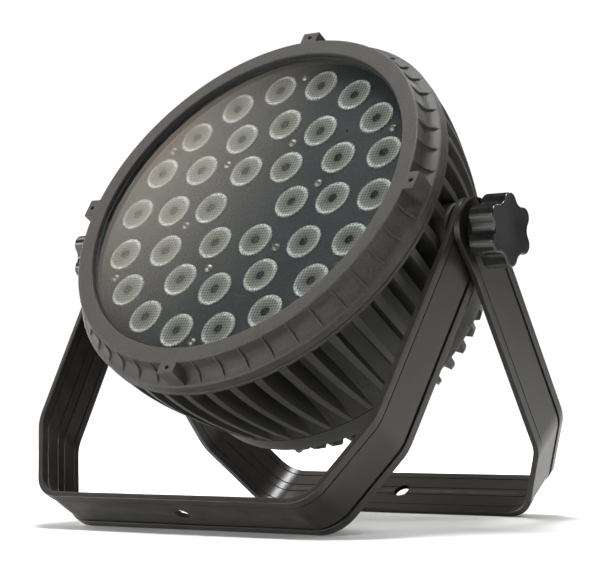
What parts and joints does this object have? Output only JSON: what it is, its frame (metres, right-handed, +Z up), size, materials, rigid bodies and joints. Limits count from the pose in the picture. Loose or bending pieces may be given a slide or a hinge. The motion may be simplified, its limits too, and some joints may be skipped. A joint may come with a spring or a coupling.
{
  "type": "par can light",
  "caption": "Round finned LED par light with a ribbed bezel, clear lens front, tilting between two nested U floor brackets clamped by star knobs.",
  "frame": {"origin": "on the floor, under the middle of the overall box", "axes": "+X along the tilt axis, -Y towards the lit side, +Z up"},
  "size_m": [0.338, 0.2556, 0.3131],
  "materials": {
    "cast_coat": "matt sandy powder coat on die-cast aluminium",
    "strip_coat": "smooth satin powder coat on extruded aluminium",
    "front_glass": "clear toughened glass",
    "lens_acrylic": "clear acrylic with a fine ridged face",
    "plate_paint": "dark satin paint",
    "silicone": "matt silicone rubber",
    "nylon": "black moulded nylon",
    "screw_steel": "stainless steel",
    "knob_plastic": "glossy black moulded plastic",
    "led_phosphor": "cream phosphor under a clear dome",
    "board_white": "white solder mask on aluminium",
    "board_green": "green solder mask",
    "psu_case": "plain aluminium case",
    "wire_red": "silicone wire insulation",
    "display_glass": "smoked display window",
    "panel_film": "satin black film panel",
    "button_rubber": "matt silicone button",
    "socket_plastic": "black glass-filled nylon"
  },
  "bodies": {
    "head": {"housing": "cast_coat", "front_bezel": "cast_coat", "bezel_gasket": "silicone", "bezel_screws": "screw_steel", "glass_gasket": "silicone", "front_glass": "front_glass", "glass_retaining_ring": "cast_coat", "lens_plate": "plate_paint", "inner_lenses": "lens_acrylic", "middle_lenses": "lens_acrylic", "outer_lenses": "lens_acrylic", "lens_holders": "nylon", "led_chips": "led_phosphor", "led_board": "board_white", "thermal_pad": "silicone", "plate_standoffs": "screw_steel", "plate_screws": "screw_steel", "lead_grommet": "silicone", "led_leads": "wire_red", "power_supply": "psu_case", "power_supply_screws": "screw_steel", "control_board": "board_green", "control_board_posts": "screw_steel", "display_module": "display_glass", "rear_gasket": "silicone", "rear_cover": "cast_coat", "rear_cover_screws": "screw_steel", "control_panel": "panel_film", "display_window": "display_glass", "power_inlet": "socket_plastic", "power_outlet": "socket_plastic", "data_inlet": "socket_plastic", "data_outlet": "socket_plastic", "socket_nuts": "socket_plastic", "vent_plug": "nylon", "safety_eye": "screw_steel", "right_pivot_insert": "screw_steel", "left_pivot_insert": "screw_steel", "right_friction_washer": "nylon", "left_friction_washer": "nylon"},
    "inner_bracket": {"inner_bracket": "strip_coat", "right_spacer_washer": "nylon", "left_spacer_washer": "nylon"},
    "outer_bracket": {"outer_bracket": "strip_coat"},
    "right_clamp_washer": {"right_clamp_washer": "nylon"},
    "left_clamp_washer": {"left_clamp_washer": "nylon"},
    "right_knob": {"right_knob": "knob_plastic", "right_knob_hub": "screw_steel", "right_knob_stud": "screw_steel"},
    "left_knob": {"left_knob": "knob_plastic", "left_knob_hub": "screw_steel", "left_knob_stud": "screw_steel"},
    "menu_button": {"menu_button": "button_rubber"},
    "down_button": {"down_button": "button_rubber"},
    "up_button": {"up_button": "button_rubber"},
    "enter_button": {"enter_button": "button_rubber"}
  },
  "joints": [
    {"name": "inner_bracket_swing", "type": "hinge", "parent": "head", "child": "inner_bracket", "pos_m": [0, -0.01022, 0.1745], "axis": [1, 0, 0], "range_deg": [-120, 120]},
    {"name": "outer_bracket_swing", "type": "hinge", "parent": "head", "child": "outer_bracket", "pos_m": [0, -0.01022, 0.1745], "axis": [1, 0, 0], "range_deg": [-120, 120]},
    {"name": "right_clamp_slide", "type": "slide", "parent": "head", "child": "right_clamp_washer", "axis": [1, 0, 0], "range_m": [0, 0.0031]},
    {"name": "right_knob_turn", "type": "hinge", "parent": "right_clamp_washer", "child": "right_knob", "pos_m": [0.151, -0.01022, 0.1745], "axis": [1, 0, 0], "range_deg": [0, 720]},
    {"name": "left_clamp_slide", "type": "slide", "parent": "head", "child": "left_clamp_washer", "axis": [-1, 0, 0], "range_m": [0, 0.0031]},
    {"name": "left_knob_turn", "type": "hinge", "parent": "left_clamp_washer", "child": "left_knob", "pos_m": [-0.151, -0.01022, 0.1745], "axis": [-1, 0, 0], "range_deg": [0, 720]},
    {"name": "menu_button_press", "type": "slide", "parent": "head", "child": "menu_button", "axis": [0, -0.8339, 0.5519], "range_m": [0, 0.0009], "stiffness_N_per_m": 900, "springref_m": -0.0005},
    {"name": "down_button_press", "type": "slide", "parent": "head", "child": "down_button", "axis": [0, -0.8339, 0.5519], "range_m": [0, 0.0009], "stiffness_N_per_m": 900, "springref_m": -0.0005},
    {"name": "up_button_press", "type": "slide", "parent": "head", "child": "up_button", "axis": [0, -0.8339, 0.5519], "range_m": [0, 0.0009], "stiffness_N_per_m": 900, "springref_m": -0.0005},
    {"name": "enter_button_press", "type": "slide", "parent": "head", "child": "enter_button", "axis": [0, -0.8339, 0.5519], "range_m": [0, 0.0009], "stiffness_N_per_m": 900, "springref_m": -0.0005}
  ],
  "couplings": [
    {"joint": "right_clamp_slide", "follows": "right_knob_turn", "m_per_rad": 0.00023873},
    {"joint": "left_clamp_slide", "follows": "left_knob_turn", "m_per_rad": 0.00023873}
  ]
}
